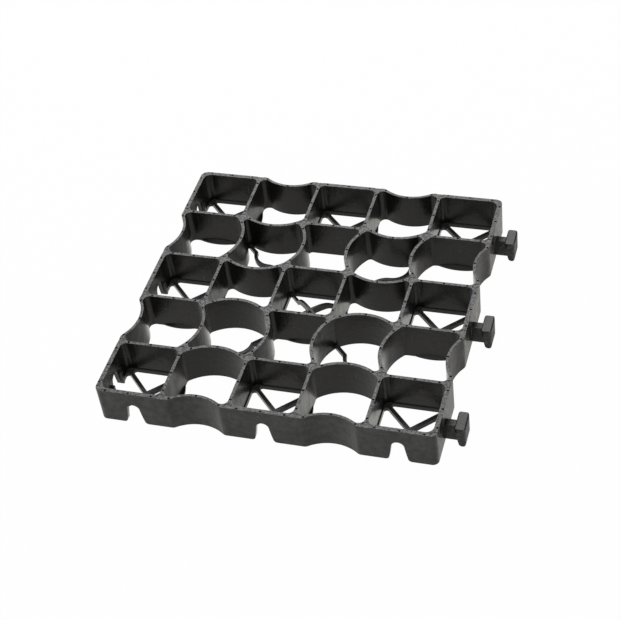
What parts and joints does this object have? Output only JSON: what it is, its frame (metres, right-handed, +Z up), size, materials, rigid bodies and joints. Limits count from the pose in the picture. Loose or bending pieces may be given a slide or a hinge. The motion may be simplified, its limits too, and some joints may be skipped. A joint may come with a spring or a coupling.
{
  "type": "permeable paving grid",
  "caption": "Square plastic paving grid tile of open upright cells, straight and bowed walls, crossed floor ribs, T-shaped tabs on one side and matching slots opposite.",
  "frame": {"origin": "middle of the whole part's footprint, tabs included, on the ground", "axes": "+X towards the side with the tabs, +Y away from the notched front, +Z up"},
  "size_m": [0.3534, 0.333, 0.0395],
  "materials": {
    "recycled_plastic": "matt, faintly mottled recycled plastic"
  },
  "bodies": {
    "root": {"paving_grid": "recycled_plastic"}
  },
  "joints": []
}
